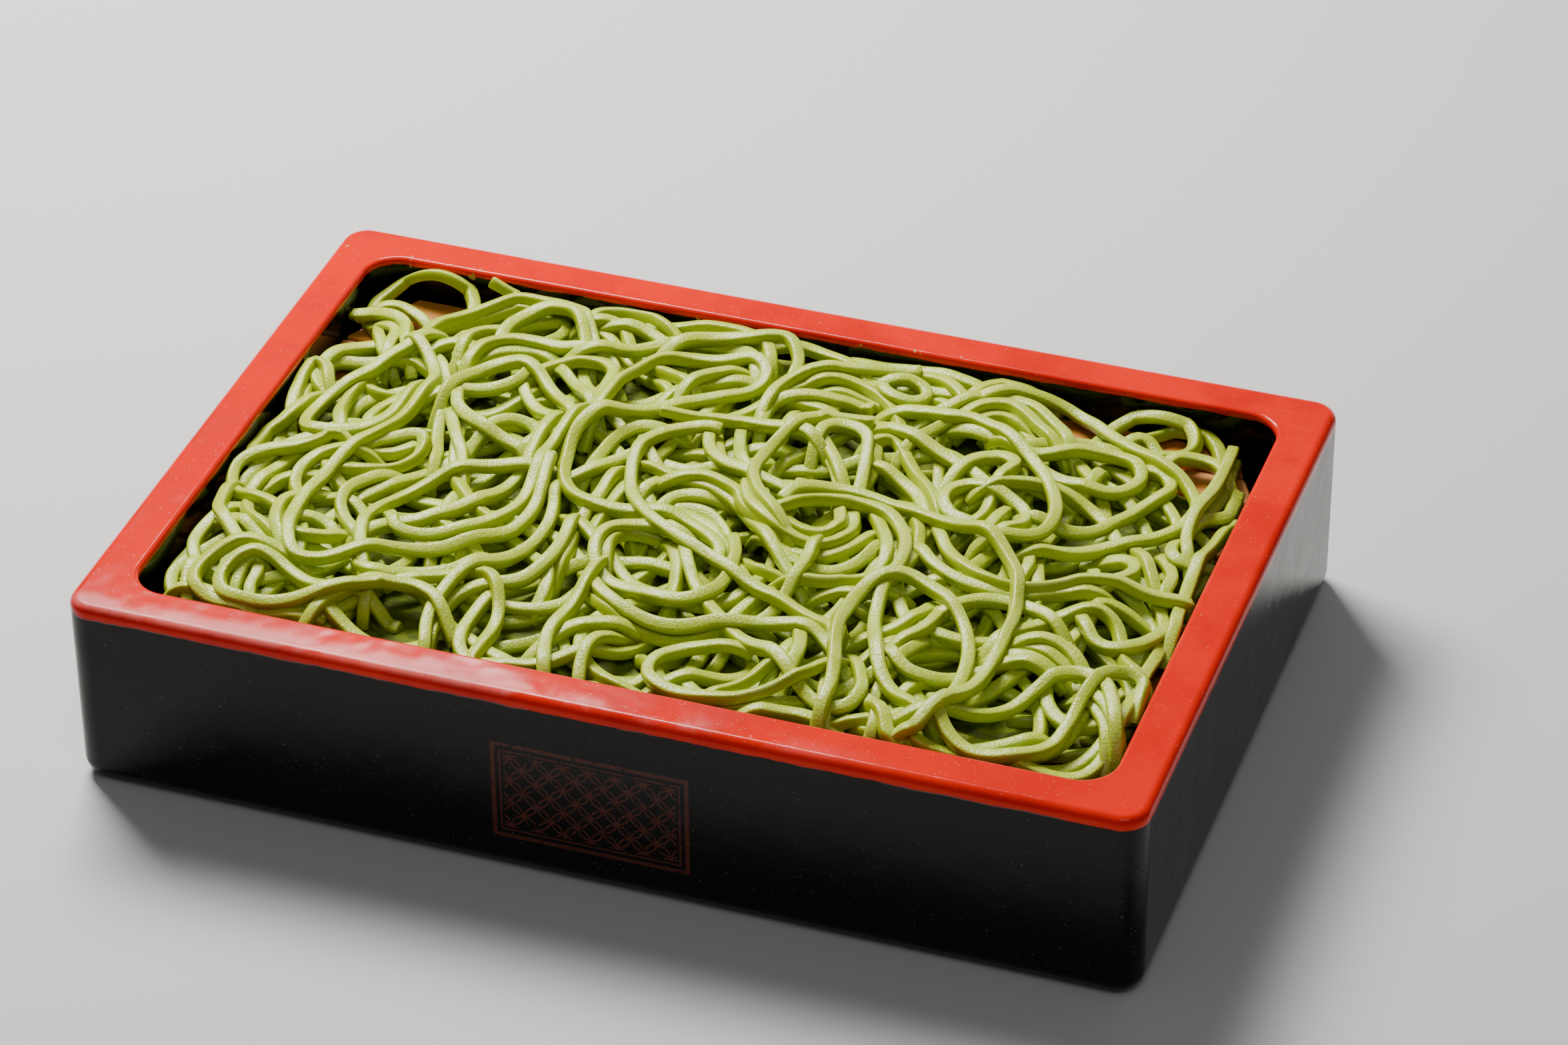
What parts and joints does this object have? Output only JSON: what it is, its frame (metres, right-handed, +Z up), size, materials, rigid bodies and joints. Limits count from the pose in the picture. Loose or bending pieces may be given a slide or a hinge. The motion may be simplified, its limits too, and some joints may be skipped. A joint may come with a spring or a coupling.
{
  "type": "tea soba in a serving box",
  "caption": "Green tea soba noodles heaped on the slatted wooden rack of a rectangular black lacquered serving box with a red rim.",
  "frame": {"origin": "on the table, under the middle of the box", "axes": "+X along the box's long side, +Y across it towards the back long side, +Z up"},
  "size_m": [0.24, 0.161, 0.051],
  "materials": {
    "lacquer": "gloss black lacquer with a red painted rim",
    "rack_wood": "damp orange-brown wood",
    "noodle": "cooked tea soba, moist"
  },
  "bodies": {
    "root": {"box_body": "lacquer", "noodle_heap": "noodle", "rack_batten_1": "rack_wood", "rack_batten_2": "rack_wood", "rack_batten_3": "rack_wood", "rack_slat_01": "rack_wood", "rack_slat_02": "rack_wood", "rack_slat_03": "rack_wood", "rack_slat_04": "rack_wood", "rack_slat_05": "rack_wood", "rack_slat_06": "rack_wood", "rack_slat_07": "rack_wood", "rack_slat_08": "rack_wood", "rack_slat_09": "rack_wood", "rack_slat_10": "rack_wood", "rack_slat_11": "rack_wood", "rack_slat_12": "rack_wood", "rack_slat_13": "rack_wood"}
  },
  "joints": []
}
